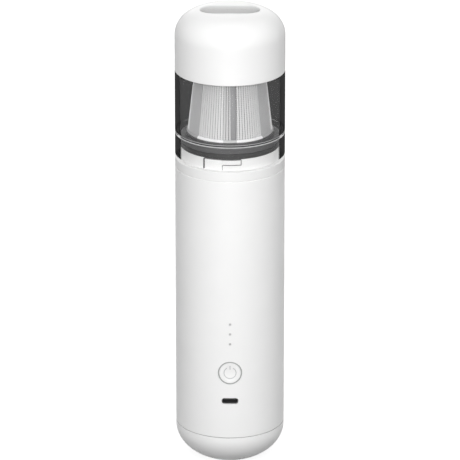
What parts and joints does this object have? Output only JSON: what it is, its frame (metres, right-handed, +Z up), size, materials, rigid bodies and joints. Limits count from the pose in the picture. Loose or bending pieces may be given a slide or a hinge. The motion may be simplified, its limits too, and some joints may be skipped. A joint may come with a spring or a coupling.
{
  "type": "mini vacuum cleaner",
  "caption": "Slim cordless hand vacuum: a white barrel with power button and charging inlet, a smoke dust cup over a steel mesh filter, and a domed nozzle with an oval suction slot.",
  "frame": {"origin": "under the middle of the foot pad, on the surface that it stands on", "axes": "+Z up along the barrel to the nozzle, -Y towards the power button and charging inlet"},
  "size_m": [0.06, 0.06, 0.257],
  "materials": {
    "white_gloss": "polished white ABS",
    "white_satin": "fine satin white ABS",
    "smoke_clear": "smoke-tinted clear polycarbonate",
    "bezel_grey": "polished grey",
    "lamp_clear": "frosted clear",
    "lamp_chip": "encapsulated chip",
    "dark_plastic": "moulded black",
    "filter_grey": "moulded grey",
    "soft_rubber": "soft black",
    "grey_rubber": "soft grey",
    "mesh_steel": "woven stainless",
    "paper": "pleated filter paper",
    "steel": "plated",
    "magnet": "ferrite",
    "copper": "bare",
    "nickel": "nickel strip",
    "board": "solder mask",
    "cell_wrap": "shrink-wrapped can"
  },
  "bodies": {
    "main_body": {"foot_pad": "grey_rubber", "end_cap": "white_gloss", "end_cap_screws": "steel", "body_shell": "white_gloss", "shoulder_ring": "white_satin", "chassis": "dark_plastic", "battery_cradle": "dark_plastic", "battery_cells": "cell_wrap", "battery_clamp": "dark_plastic", "battery_link": "nickel", "main_pcb": "board", "pcb_screws": "steel", "pcb_chips": "dark_plastic", "tact_switch": "dark_plastic", "button_bezel": "bezel_grey", "led_chips": "lamp_chip", "light_pipes": "lamp_clear", "usb_shell": "steel", "usb_tongue": "dark_plastic", "motor_mount": "dark_plastic", "mount_screws": "steel", "motor_boot": "soft_rubber", "motor_can": "steel", "motor_end_bell": "dark_plastic", "motor_brushes": "dark_plastic", "motor_bearings": "steel", "motor_magnets": "magnet", "motor_screws": "steel", "fan_housing": "dark_plastic", "fan_shroud": "dark_plastic", "intake_neck": "white_satin", "neck_screws": "steel", "filter_gasket": "soft_rubber", "filter_base": "filter_grey", "filter_mesh": "mesh_steel", "filter_core": "paper", "filter_top": "filter_grey"},
    "cup": {"dust_cup": "smoke_clear", "bayonet_collar": "smoke_clear", "cap_seal": "soft_rubber"},
    "nozzle": {"nozzle_cap": "white_gloss", "inlet_duct": "white_gloss", "flap_pin": "steel"},
    "flap": {"inlet_flap": "grey_rubber"},
    "button": {"power_button": "white_gloss", "switch_plunger": "dark_plastic"},
    "rotor": {"motor_shaft": "steel", "rotor_core": "steel", "commutator": "copper", "impeller": "dark_plastic"}
  },
  "joints": [
    {"name": "cup_twist", "type": "hinge", "parent": "main_body", "child": "cup", "pos_m": [0, 0, 0.182], "axis": [0, 0, 1], "range_deg": [0, 20.6]},
    {"name": "nozzle_pull", "type": "slide", "parent": "cup", "child": "nozzle", "axis": [0, 0, 1], "range_m": [0, 0.04]},
    {"name": "flap_swing", "type": "hinge", "parent": "nozzle", "child": "flap", "pos_m": [0, 0.0111, 0.24285], "axis": [1, 0, 0], "range_deg": [0, 45], "stiffness_Nm_per_rad": 0.002, "springref_deg": -11.46},
    {"name": "button_press", "type": "slide", "parent": "main_body", "child": "button", "axis": [0, 1, 0], "range_m": [0, 0.0005], "stiffness_N_per_m": 300, "springref_m": -0.002},
    {"name": "rotor_spin", "type": "hinge", "parent": "main_body", "child": "rotor", "pos_m": [0, 0, 0.13], "axis": [0, 0, 1], "continuous": true}
  ]
}
